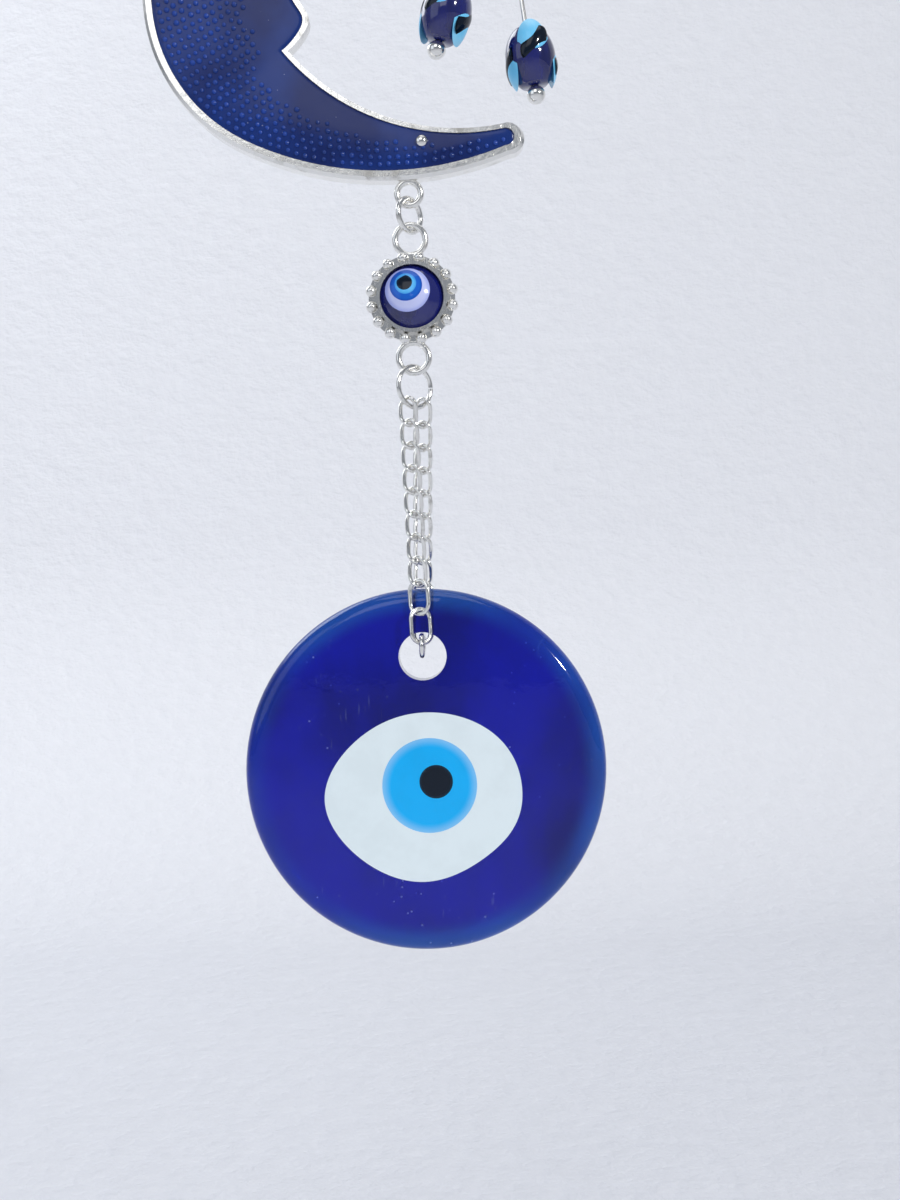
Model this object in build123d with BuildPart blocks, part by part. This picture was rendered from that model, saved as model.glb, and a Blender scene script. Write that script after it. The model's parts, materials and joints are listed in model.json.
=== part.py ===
from build123d import *
import math
import os

os.makedirs("parts", exist_ok=True)

# An evil eye ornament, hanging at rest. Millimetres, +Z up, the front faces -Y. The origin is the
# point inside the top of the hanging ring that bears on the hook.

# ---- rings and fits ----
seat_gap = 0.10  # between two round wires that hang in each other
ring_split_deg = 3.0  # the cut in a jump ring or an opened link

hanging_ring_radius = 7.2  # mean radius, as all ring radii here
hanging_ring_wire = 1.6
top_ring_radius = 2.6
top_ring_wire = 1.0
lug_radius = 1.65  # cast loops on the moon
lug_wire = 0.9
lug_sink = 0.35  # how far a cast loop's outside stands into the rim
lower_ring_radius = 2.3
lower_ring_wire = 0.8
lower_ring_turn = 50.0  # degrees about the vertical, from facing the front

# ---- crescent moon ----
string_x = 6.9  # the lower string, right of the hook by what balances the moon
moon_left = -35.1  # leftmost enamel, from the string
moon_side_radius = 102.8
moon_side_turn = 5.0
moon_corner_radius = 22.8
moon_corner_turn = 58.4
moon_horn_radius = 44.1
moon_horn_turn = 48.0
moon_inner_radius = 31.6
moon_inner_x = 7.9  # centre of the inner arcs, from the string
moon_inner_rise = 4.5  # centre of the lower inner arc, above mid-height
neck_half_height = 15.0  # where the face leaves the inner arcs
face_points = [  # chin to brow: out from the neck, and up from mid-height as a share of the neck's half height
    (2.0, -0.867),
    (3.0, -0.693),
    (1.7, -0.467),
    (2.5, -0.367),
    (1.8, -0.293),
    (2.7, -0.207),
    (2.3, -0.093),
    (5.0, 0.020),
    (2.0, 0.400),
    (2.6, 0.573),
    (1.9, 0.827),
]
rim_outer = 1.25
rim_inner = 0.65
casting_thickness = 2.4
enamel_depth = 0.9
rim_bevel = 0.45
tip_bulge = 0.5  # how far a horn's blunt end swells, as a share of its width
horn_eye_back = 0.4  # the loop on the upper horn, back from the end of its outer edge

# ---- eye connector ----
bezel_radius = 5.7  # to the middle of the grains
grain_radius = 0.8
grain_count = 16
bezel_floor_radius = 6.0
bezel_floor = 1.0
bezel_wall = 0.5
bezel_wall_height = 1.3
loop_radius = 2.1
loop_wire = 0.9
dome_radius = 4.4
dome_height = 2.6
dome_gap = 0.03
dome_layer = 0.32  # how much nearer the front each layer of the eye starts than the one round it
dome_eye_back = 0.9  # from the dome's foot to the back of the eye's first layer
dome_eye = {  # radius, and the middle's place from the dome's, right and up
    "bead_white": (3.1, -0.56, 0.77),
    "bead_blue": (2.25, -0.75, 1.35),
    "bead_pale": (1.5, -0.8, 1.55),
    "bead_pupil": (1.08, -0.95, 1.7),
}

# ---- chain ----
chain_ring_radius = 2.85
chain_ring_wire = 0.7
chain_ring_turn = 40.0
chain_wire = 0.6
curb_length = 3.9  # wire centre to wire centre, top to bottom
curb_width = 2.15
curb_links = 8
curb_turn = -45.0  # the first link's, and every second one is turned the other way
end_length = 4.6
end_width = 2.8
end_turns = [-28.0, 25.0]  # the two longer links, above the disc and at its hole
strand_angle = 40.0  # from the foot of the chain ring to each strand
through_wire = 0.7
through_height = 2.7
strand_clear = 2.2  # from the disc's face to the middle of the front strand's foot

# ---- glass disc ----
disc_radius = 25.0
disc_back = 2.5  # from the mid-plane
disc_front = 2.5  # at the shoulder
disc_crown = 0.6  # how far the front swells at the middle
disc_edge_round = 2.2
hole_radius = 3.3
hole_inset = 9.3  # hole centre, in from the disc's edge
white_radii = [13.5, 12.7, 11.5, 11.9, 13.6, 12.1, 11.7, 11.9]  # an egg, every 45 degrees from the right
white_place = (-0.4, -3.5)  # from the disc's middle, right and up
white_depth = 1.2
iris_radius = 6.5
iris_place = (0.45, -2.0)
iris_depth = 0.8
pupil_radius = 2.3
pupil_place = (1.35, -1.5)
pupil_depth = 0.4

# ---- drops on the upper horn ----
dangle_turns = [70.0, -20.0, 70.0]  # one for each link below the upper horn
bunch_radius = 4.1
bunch_wire = 0.9
pin_wire = 0.7
pin_loop_radius = 1.25
bead_radius = 3.5
bead_half_height = 3.9
bead_edge_round = 1.7
bead_bore_gap = 0.08
pin_ball_radius = 1.3
bead_drops = {  # place round the bunch ring, lean and length down to the ball's middle
    "left_drop": (-46.0, -17.0, 18.5),
    "right_drop": (17.0, 7.0, 23.5),
}
medal_wire = 0.6
medal_ring_radius = 1.5
medal_thickness = 1.1
medal_grain_radius = 0.45
medal_boss_share = 0.3  # the middle boss, as a share of the medal's radius
medal_eye_radius = 1.0
medal_eye_sink = 0.2
medals = {  # place round the bunch ring, lean and radius
    "small_medal": (-12.0, -4.0, 2.5),
    "large_medal": (50.0, 32.0, 4.2),
}


def seat(wire_a, wire_b):
    """The distance between the middles of two wires, one hanging in the other."""
    return (wire_a + wire_b) / 2 + seat_gap


def put_out(part, name):
    """Label a finished piece and write it."""
    part.label = name
    export_step(part, f"parts/{name}.step")


def hanging_plane(centre, turn, up):
    """A plane through centre that holds the direction up. At turn 0 it faces the front, and at 90
    it is edge-on. Its own x runs across and its own y runs up."""
    up = Vector(up).normalized()
    angle = math.radians(turn)
    level = -(up.X * math.cos(angle) + up.Y * math.sin(angle)) / up.Z
    across = Vector(math.cos(angle), math.sin(angle), level).normalized()
    return Plane(origin=centre, x_dir=across, z_dir=across.cross(up))


def wire_ring(plane, radius, wire, split=0.0):
    """A round ring of round wire about the plane's normal, its cut at the side."""
    start = plane.x_dir.rotate(Axis((0, 0, 0), plane.z_dir), split / 2)
    along = plane.z_dir.cross(start)
    with BuildPart() as ring:
        with BuildSketch(Plane(origin=plane.origin + start * radius, x_dir=start, z_dir=along)):
            Circle(wire / 2)
        revolve(axis=Axis(plane.origin, plane.z_dir), revolution_arc=360 - split)
    return ring.part


def oval_link(plane, length, width, wire):
    """A chain link with straight sides and round ends. Length and width are between wire middles."""
    side = (length - width) / 2
    bend = width / 2
    with BuildPart() as link:
        with BuildLine(plane):
            Line((bend, -side), (bend, side))
            CenterArc((0, side), bend, 0, 180)
            Line((-bend, side), (-bend, -side))
            CenterArc((0, -side), bend, 180, 180)
        foot = plane.from_local_coords((bend, -side, 0))
        with BuildSketch(Plane(origin=foot, x_dir=plane.x_dir, z_dir=plane.y_dir)):
            Circle(wire / 2)
        sweep()
    return link.part


# ================= the crescent's outline, from its mid-height =================
corner_at = math.radians(moon_side_turn)
horn_at = math.radians(moon_side_turn + moon_corner_turn)
side_x = moon_left + moon_side_radius
corner_x = side_x - (moon_side_radius - moon_corner_radius) * math.cos(corner_at)
corner_z = -(moon_side_radius - moon_corner_radius) * math.sin(corner_at)
horn_x = corner_x - (moon_corner_radius - moon_horn_radius) * math.cos(horn_at)
horn_z = corner_z - (moon_corner_radius - moon_horn_radius) * math.sin(horn_at)


def horn_edge(x, grow):
    """Height of the lower horn's outer edge at x from the string, below mid-height."""
    return horn_z - math.sqrt((moon_horn_radius + grow) ** 2 - (x - horn_x) ** 2)


def moon_outline(plane, outer, inner):
    """The crescent on a plane, its outer edge moved out by outer and its inner edge by inner."""
    inner_radius = moon_inner_radius - inner
    neck_x = moon_inner_x - math.sqrt(inner_radius**2 - (neck_half_height + moon_inner_rise) ** 2)
    face = [(neck_x + out, share * neck_half_height) for out, share in face_points]
    with BuildSketch(plane) as outline:
        with BuildLine():
            side = JernArc((moon_left - outer, 0), (0, -1), moon_side_radius + outer, moon_side_turn)
            corner = JernArc(side @ 1, side % 1, moon_corner_radius + outer, moon_corner_turn)
            horn = JernArc(corner @ 1, corner % 1, moon_horn_radius + outer, moon_horn_turn)
            tip = horn @ 1
            tip_z = -math.sqrt(inner_radius**2 - (tip.X - moon_inner_x) ** 2) + moon_inner_rise
            end_x = tip.X + tip_bulge * (tip_z - tip.Y)
            ThreePointArc(tip, (end_x, (tip_z + tip.Y) / 2), (tip.X, tip_z))
            RadiusArc((tip.X, tip_z), (neck_x, -neck_half_height), inner_radius, short_sagitta=True)
            Spline((neck_x, -neck_half_height), *face, (neck_x, neck_half_height))
            RadiusArc((neck_x, neck_half_height), (tip.X, -tip_z), inner_radius, short_sagitta=True)
            ThreePointArc((tip.X, -tip_z), (end_x, -(tip_z + tip.Y) / 2), (tip.X, -tip.Y))
            mirror(horn, about=Plane.XZ)
            mirror(corner, about=Plane.XZ)
            mirror(side, about=Plane.XZ)
        make_face()
    return outline.sketch


def crown_radius(radius, height):
    """Radius of the sphere that a shallow crown of this height is part of."""
    return (radius**2 + height**2) / (2 * height)


def hung(wire_z, wire_above, wire, radius):
    """Height of the middle of a ring that hangs on a level wire."""
    return wire_z + seat(wire_above, wire) - radius


# ================= heights, from the hook down =================
up = (0, 0, 1)
hanging_ring_z = hanging_ring_wire / 2 - hanging_ring_radius
top_ring_z = hung(hanging_ring_z - hanging_ring_radius, hanging_ring_wire, top_ring_wire, top_ring_radius)
top_lug_z = hung(top_ring_z - top_ring_radius, top_ring_wire, lug_wire, lug_radius)
lug_reach = lug_radius + lug_wire / 2 - lug_sink
moon_z = top_lug_z - lug_reach + horn_edge(-string_x, rim_outer)
lower_lug_z = moon_z + horn_edge(0, rim_outer) - lug_reach
lower_ring_z = hung(lower_lug_z - lug_radius, lug_wire, lower_ring_wire, lower_ring_radius)
upper_loop_z = hung(lower_ring_z - lower_ring_radius, lower_ring_wire, loop_wire, loop_radius)
loop_reach = bezel_floor_radius + loop_radius + loop_wire / 2 - lug_sink
bezel_z = upper_loop_z - loop_reach
lower_loop_z = bezel_z - loop_reach
chain_ring_z = hung(lower_loop_z - loop_radius, loop_wire, chain_ring_wire, chain_ring_radius)

# ================= the ring for the hook, and the ring below it =================
put_out(
    wire_ring(hanging_plane((0, 0, hanging_ring_z), 0, up), hanging_ring_radius, hanging_ring_wire),
    "hanging_ring",
)
put_out(
    wire_ring(hanging_plane((0, 0, top_ring_z), 90, up), top_ring_radius, top_ring_wire, ring_split_deg),
    "top_jump_ring",
)

# ================= moon: a cast tray and the enamel that fills it =================
casting_front = casting_thickness / 2  # in front of the mid-plane, as all fronts below
tip_angle = horn_at + math.radians(moon_horn_turn)
horn_tip_x = horn_x - (moon_horn_radius + rim_outer) * math.cos(tip_angle)
horn_eye_x = horn_tip_x - horn_eye_back
inner_reach = moon_inner_radius - rim_inner
horn_inner_z = math.sqrt(inner_reach**2 - (horn_eye_x - moon_inner_x) ** 2) - moon_inner_rise
horn_eye_z = moon_z + horn_inner_z - lug_reach

moon_plane = Plane(origin=(string_x, 0, moon_z), x_dir=(1, 0, 0), z_dir=(0, -1, 0))
back_outline = moon_outline(moon_plane.offset(-casting_front), rim_outer, rim_inner)
shoulder_outline = moon_outline(moon_plane.offset(casting_front - rim_bevel), rim_outer, rim_inner)
front_outline = moon_outline(moon_plane.offset(casting_front), rim_outer - rim_bevel, rim_inner)
tray_outline = moon_outline(moon_plane.offset(casting_front), 0, 0)
with BuildPart() as moon_casting:
    extrude(back_outline, amount=casting_thickness - rim_bevel)
    loft([shoulder_outline.face(), front_outline.face()], ruled=True)
    extrude(tray_outline, amount=-enamel_depth, mode=Mode.SUBTRACT)
    for x, z in [(0, top_lug_z), (string_x, lower_lug_z), (string_x + horn_eye_x, horn_eye_z)]:
        add(wire_ring(hanging_plane((x, 0, z), 0, up), lug_radius, lug_wire))
put_out(moon_casting.part, "moon_casting")

with BuildPart() as moon_enamel:
    extrude(tray_outline, amount=-enamel_depth)
put_out(moon_enamel.part, "moon_enamel")

# ================= ring between the moon and the connector =================
put_out(
    wire_ring(
        hanging_plane((string_x, 0, lower_ring_z), lower_ring_turn, up),
        lower_ring_radius,
        lower_ring_wire,
        ring_split_deg,
    ),
    "lower_jump_ring",
)

# ================= eye connector: a grained bezel with a loop above and below =================
bezel_face = Plane.XZ.offset(bezel_floor / 2)
with BuildPart() as bezel_setting:
    with BuildSketch(Plane.XZ.offset(-bezel_floor / 2)):
        with Locations((string_x, bezel_z)):
            Circle(bezel_floor_radius)
    extrude(amount=bezel_floor)
    with BuildSketch(bezel_face):
        with Locations((string_x, bezel_z)):
            Circle(dome_radius + dome_gap + bezel_wall)
            Circle(dome_radius + dome_gap, mode=Mode.SUBTRACT)
    extrude(amount=bezel_wall_height)
    with Locations(Plane(origin=(string_x, -bezel_floor / 2, bezel_z), x_dir=(1, 0, 0), z_dir=(0, -1, 0))):
        with PolarLocations(bezel_radius, grain_count, start_angle=180 / grain_count):
            Sphere(grain_radius)
    for z in (upper_loop_z, lower_loop_z):
        add(wire_ring(hanging_plane((string_x, 0, z), 0, up), loop_radius, loop_wire))
    with BuildSketch(bezel_face):
        with Locations((string_x, bezel_z)):
            Circle(dome_radius + dome_gap)
    extrude(amount=bezel_wall_height + grain_radius, mode=Mode.SUBTRACT)
put_out(bezel_setting.part, "bezel_setting")

dome_back = bezel_floor / 2
dome_side = bezel_wall_height / 2  # straight side below the curve
with BuildPart() as dome:
    with BuildSketch(Plane.XY.offset(bezel_z)):
        with BuildLine():
            foot = Line((string_x, -dome_back), (string_x + dome_radius, -dome_back))
            side = Line(foot @ 1, (string_x + dome_radius, -dome_back - dome_side))
            crown = RadiusArc(
                side @ 1,
                (string_x, -dome_back - dome_height),
                crown_radius(dome_radius, dome_height - dome_side),
            )
            Line(crown @ 1, foot @ 0)
        make_face()
    revolve(axis=Axis((string_x, 0, bezel_z), (0, 1, 0)))

layers = list(dome_eye)
base = dome.part
for depth, layer in enumerate(layers):
    radius, x, z = dome_eye[layer]
    with BuildPart() as spot:
        with BuildSketch(Plane.XZ.offset(dome_back + dome_eye_back + dome_layer * depth)):
            with Locations((string_x + x, bezel_z + z)):
                Circle(radius)
        extrude(amount=dome_height)
    if depth == 0:
        put_out(base - spot.part, "bead_dome")
    else:
        put_out(base - spot.part, layers[depth - 1])
    base = base & spot.part
put_out(base, layers[-1])

# ================= chain: one loop of links, through the hole of the disc =================
chain_ring_plane = hanging_plane((string_x, 0, chain_ring_z), chain_ring_turn, up)
put_out(wire_ring(chain_ring_plane, chain_ring_radius, chain_ring_wire, ring_split_deg), "chain_ring")

link_sizes = [(curb_length, curb_width)] * curb_links + [(end_length, end_width)] * len(end_turns)
link_turns = [curb_turn * (-1) ** k for k in range(curb_links)] + end_turns
link_step = seat(chain_wire, chain_wire)
strand_y = max(disc_front, disc_back) + strand_clear
seat_reach = (through_height / 2 - seat(chain_wire, through_wire)) * math.sin(math.radians(45))
bend_y = strand_y - seat_reach  # the middle of the through link's round ends
strand_out = (chain_ring_radius - seat(chain_ring_wire, chain_wire)) * math.sin(math.radians(strand_angle))
strand_down = (chain_ring_radius - seat(chain_ring_wire, chain_wire)) * math.cos(math.radians(strand_angle))
strand_length = sum(length for length, width in link_sizes) - link_step * (len(link_sizes) - 1)
front_top = chain_ring_plane.from_local_coords((-strand_out, -strand_down, 0))
back_top = chain_ring_plane.from_local_coords((strand_out, -strand_down, 0))
front_level = Vector(string_x - front_top.X, -strand_y - front_top.Y, 0).length
front_foot = Vector(string_x, -strand_y, front_top.Z - math.sqrt(strand_length**2 - front_level**2))
through_z = front_foot.Z - seat_reach
# The back foot is free in the middle of the bend, where the loop of chain is open, so the back
# strand's end links are longer by what takes it there.
back_foot = Vector(string_x, bend_y, through_z)
back_slack = (back_foot - back_top).length - strand_length


def strand_links(top, foot, slack):
    """The middle of each link's top wire, its length and width and the way down, along a strand."""
    along = (foot - top).normalized()
    travelled = 0
    for k, (length, width) in enumerate(link_sizes):
        if k >= curb_links:
            length += slack / len(end_turns)
        yield top + along * travelled, length, width, along
        travelled += length - link_step


front_strand = list(strand_links(front_top, front_foot, 0))
back_strand = list(strand_links(back_top, back_foot, back_slack))
for name, strand in (("front", front_strand), ("back", back_strand)):
    for k, (link_top, length, width, along) in enumerate(strand):
        link_plane = hanging_plane(link_top + along * length / 2, link_turns[k], -along)
        put_out(oval_link(link_plane, length, width, chain_wire), f"{name}_link_{k + 1:02d}")

through_length = 2 * bend_y + through_height
through_plane = Plane(origin=(string_x, 0, through_z), x_dir=(0, 0, 1), z_dir=(1, 0, 0))
put_out(oval_link(through_plane, through_length, through_height, through_wire), "through_link")

# ================= glass disc, with the poured layers of its eye =================
hole_z = through_z + through_height / 2 + through_wire / 2 + seat_gap - hole_radius
disc_z = hole_z - (disc_radius - hole_inset)
with BuildPart() as disc_blank:
    with BuildSketch(Plane.XY.offset(disc_z)):
        with BuildLine():
            Line((string_x, disc_back), (string_x + disc_radius, disc_back))
            Line((string_x + disc_radius, disc_back), (string_x + disc_radius, -disc_front))
            RadiusArc(
                (string_x + disc_radius, -disc_front),
                (string_x, -disc_front - disc_crown),
                crown_radius(disc_radius, disc_crown),
            )
            Line((string_x, -disc_front - disc_crown), (string_x, disc_back))
        make_face()
    revolve(axis=Axis((string_x, 0, disc_z), (0, 1, 0)))
    fillet(disc_blank.edges().filter_by(GeomType.CIRCLE), disc_edge_round)
    with BuildSketch(Plane.XZ.offset(disc_front + disc_crown)):
        with Locations((string_x, hole_z)):
            Circle(hole_radius)
    extrude(amount=-(disc_front + disc_crown + disc_back), mode=Mode.SUBTRACT)


def disc_inlay(depth, place, outline):
    """The prism that an eye layer is cut from, depth below the front of the disc's crown."""
    with BuildPart() as prism:
        with BuildSketch(Plane.XZ.offset(disc_front + disc_crown - depth)):
            with Locations((string_x + place[0], disc_z + place[1])):
                add(outline)
        extrude(amount=depth + disc_crown)
    return prism.part


with BuildSketch(Plane.XY) as egg:
    with BuildLine():
        egg_points = [
            (radius * math.cos(math.radians(45 * k)), radius * math.sin(math.radians(45 * k)))
            for k, radius in enumerate(white_radii)
        ]
        Spline(*egg_points, periodic=True)
    make_face()
with BuildSketch(Plane.XY) as iris_round:
    Circle(iris_radius)
with BuildSketch(Plane.XY) as pupil_round:
    Circle(pupil_radius)
white_cut = disc_inlay(white_depth, white_place, egg.sketch)
iris_cut = disc_inlay(iris_depth, iris_place, iris_round.sketch)
pupil_cut = disc_inlay(pupil_depth, pupil_place, pupil_round.sketch)
white_blank = disc_blank.part & white_cut
iris_blank = white_blank & iris_cut
put_out(disc_blank.part - white_cut, "glass_disc")
put_out(white_blank - iris_cut, "eye_white")
put_out(iris_blank - pupil_cut, "eye_iris")
put_out(iris_blank & pupil_cut, "eye_pupil")

# ================= drops on the upper horn =================
horn_line = string_x + horn_eye_x
link_top = horn_eye_z - lug_radius + seat(lug_wire, chain_wire)
for k, turn in enumerate(dangle_turns):
    middle = (horn_line, 0, link_top - curb_length / 2)
    link_plane = hanging_plane(middle, turn, up)
    put_out(oval_link(link_plane, curb_length, curb_width, chain_wire), f"horn_link_{k + 1}")
    link_top -= curb_length - link_step
bunch_z = hung(link_top - link_step, chain_wire, bunch_wire, bunch_radius)
bunch_plane = hanging_plane((horn_line, 0, bunch_z), 0, up)
put_out(wire_ring(bunch_plane, bunch_radius, bunch_wire, ring_split_deg), "bunch_ring")


def drop_line(place, lean, wire):
    """Where a drop's topmost wire sits in the bunch ring, and the direction that the drop hangs in."""
    reach = bunch_radius - seat(bunch_wire, wire)
    place = math.radians(place)
    lean = math.radians(lean)
    top = Vector(horn_line + reach * math.sin(place), 0, bunch_z - reach * math.cos(place))
    return top, Vector(math.sin(lean), 0, -math.cos(lean))


for name, (place, lean, length) in bead_drops.items():
    top, along = drop_line(place, lean, pin_wire)
    bead_middle = top + along * length
    ball_middle = bead_middle + along * (bead_half_height + pin_ball_radius)
    rod_top = top + along * (2 * pin_loop_radius)
    loop_plane = hanging_plane(top + along * pin_loop_radius, 90, -along)
    with BuildPart() as pin:
        add(wire_ring(loop_plane, pin_loop_radius, pin_wire))
        with BuildSketch(Plane(origin=rod_top, x_dir=(0, 1, 0), z_dir=along)):
            Circle(pin_wire / 2)
        extrude(amount=(ball_middle - rod_top).length)
        with Locations(ball_middle):
            Sphere(pin_ball_radius)
    put_out(pin.part, f"{name}_pin")

    bead_foot = Plane(origin=bead_middle - along * bead_half_height, x_dir=(0, 1, 0), z_dir=along)
    with BuildPart() as bead:
        with BuildSketch(bead_foot):
            Circle(bead_radius)
        extrude(amount=2 * bead_half_height)
        fillet(bead.edges().filter_by(GeomType.CIRCLE), bead_edge_round)
        with BuildSketch(bead_foot):
            Circle(pin_wire / 2 + bead_bore_gap)
        extrude(amount=2 * bead_half_height, mode=Mode.SUBTRACT)
    put_out(bead.part, f"{name}_bead")

for name, (place, lean, radius) in medals.items():
    top, along = drop_line(place, lean, medal_wire)
    ring_middle = top + along * medal_ring_radius
    put_out(
        wire_ring(hanging_plane(ring_middle, 90, -along), medal_ring_radius, medal_wire, ring_split_deg),
        f"{name}_ring",
    )
    eye_top = top + along * (2 * medal_ring_radius - seat(medal_wire, medal_wire))
    eye_middle = eye_top + along * medal_eye_radius
    middle = eye_middle + along * (medal_eye_radius + medal_wire / 2 - medal_eye_sink + radius)
    face = hanging_plane(middle, 0, -along)
    grain_circle = radius - 1.3 * medal_grain_radius
    grains = math.floor(2 * math.pi * grain_circle / (2.5 * medal_grain_radius))
    with BuildPart() as medal:
        with BuildSketch(face.offset(-medal_thickness / 2)):
            Circle(radius)
        extrude(amount=medal_thickness)
        with Locations(face.offset(medal_thickness / 2)):
            with PolarLocations(grain_circle, grains):
                Sphere(medal_grain_radius)
            Sphere(radius * medal_boss_share)
        add(wire_ring(hanging_plane(eye_middle, 0, -along), medal_eye_radius, medal_wire))
    put_out(medal.part, name)
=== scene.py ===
"""An evil eye ornament: enamelled crescent moon, eye connector, doubled chain and poured glass eye."""

import json
import math
import random

import bpy
from bpy.props import FloatProperty, FloatVectorProperty, IntProperty, PointerProperty
from mathutils import Matrix, Vector

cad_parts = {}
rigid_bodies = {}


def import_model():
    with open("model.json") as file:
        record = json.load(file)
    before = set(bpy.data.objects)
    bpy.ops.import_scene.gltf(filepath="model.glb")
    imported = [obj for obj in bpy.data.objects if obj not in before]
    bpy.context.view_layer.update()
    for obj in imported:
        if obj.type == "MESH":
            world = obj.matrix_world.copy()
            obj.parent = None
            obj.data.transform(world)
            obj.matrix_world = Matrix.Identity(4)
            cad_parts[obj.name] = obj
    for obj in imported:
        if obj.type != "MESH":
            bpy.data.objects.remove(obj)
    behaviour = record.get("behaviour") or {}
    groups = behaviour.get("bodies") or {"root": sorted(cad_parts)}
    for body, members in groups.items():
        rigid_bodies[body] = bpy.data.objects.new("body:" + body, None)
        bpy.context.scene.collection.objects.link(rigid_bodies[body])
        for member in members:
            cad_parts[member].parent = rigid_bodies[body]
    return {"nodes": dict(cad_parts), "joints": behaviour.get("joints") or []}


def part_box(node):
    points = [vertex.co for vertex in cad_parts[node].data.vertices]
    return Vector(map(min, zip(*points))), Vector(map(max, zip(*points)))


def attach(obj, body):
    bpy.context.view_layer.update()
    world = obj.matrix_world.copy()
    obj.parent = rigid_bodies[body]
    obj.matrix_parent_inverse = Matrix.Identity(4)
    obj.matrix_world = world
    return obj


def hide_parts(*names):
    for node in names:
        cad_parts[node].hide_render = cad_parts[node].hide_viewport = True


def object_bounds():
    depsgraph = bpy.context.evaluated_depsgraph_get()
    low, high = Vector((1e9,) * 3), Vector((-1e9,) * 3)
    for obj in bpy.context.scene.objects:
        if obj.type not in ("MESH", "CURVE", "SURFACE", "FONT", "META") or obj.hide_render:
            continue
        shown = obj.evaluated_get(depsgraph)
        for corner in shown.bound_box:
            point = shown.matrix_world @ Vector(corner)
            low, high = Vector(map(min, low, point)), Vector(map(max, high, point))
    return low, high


bl_info = {
    "name": "Evil eye ornament",
    "version": (1, 0, 0),
    "blender": (4, 5, 0),
    "location": "View3D > Sidebar > Ornament",
    "description": "Enamel, glass and silver for a hanging evil eye ornament",
    "category": "Object",
}

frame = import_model()
cad_low, cad_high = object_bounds()
NODES = frame["nodes"]
MM = 0.001
FRONT = Vector((0, -1, 0))


def node_centre(node):
    """The middle of a CAD node's box."""
    low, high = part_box(node)
    return (low + high) / 2


DISC_CENTRE = node_centre("glass_disc")
DISC_RADIUS = (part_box("glass_disc")[1].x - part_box("glass_disc")[0].x) / 2
MOON_LOW, MOON_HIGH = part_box("moon_enamel")
MOON_MIDDLE = (MOON_LOW.z + MOON_HIGH.z) / 2


# ------------------------------------------------------------------ shader nodes


class Level:
    """A number that varies over a surface. Arithmetic on it adds Math nodes."""

    def __init__(self, finish, socket):
        self.finish = finish
        self.socket = socket

    def step(self, operation, *others, clamp=False):
        """The result of a Math node on this number and the others."""
        node = self.finish.add("ShaderNodeMath", {"operation": operation, "use_clamp": clamp}, {})
        for slot, value in zip(node.inputs, others):
            self.finish.plug(slot, value)
        return Level(self.finish, node.outputs[0])

    def __add__(self, other):
        return self.step("ADD", self, other)

    def __radd__(self, other):
        return self.step("ADD", other, self)

    def __sub__(self, other):
        return self.step("SUBTRACT", self, other)

    def __rsub__(self, other):
        return self.step("SUBTRACT", other, self)

    def __mul__(self, other):
        return self.step("MULTIPLY", self, other)

    def __rmul__(self, other):
        return self.step("MULTIPLY", other, self)

    def __truediv__(self, other):
        return self.step("DIVIDE", self, other)

    def clamped(self):
        """The same number, kept between 0 and 1."""
        return self.step("ADD", self, 0.0, clamp=True)

    def between(self, low, high):
        """0 below low, 1 above high, and a soft rise between them."""
        node = self.finish.add(
            "ShaderNodeMapRange",
            {"interpolation_type": "SMOOTHSTEP"},
            {"Value": self, "From Min": low, "From Max": high},
        )
        return Level(self.finish, node.outputs[0])


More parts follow.
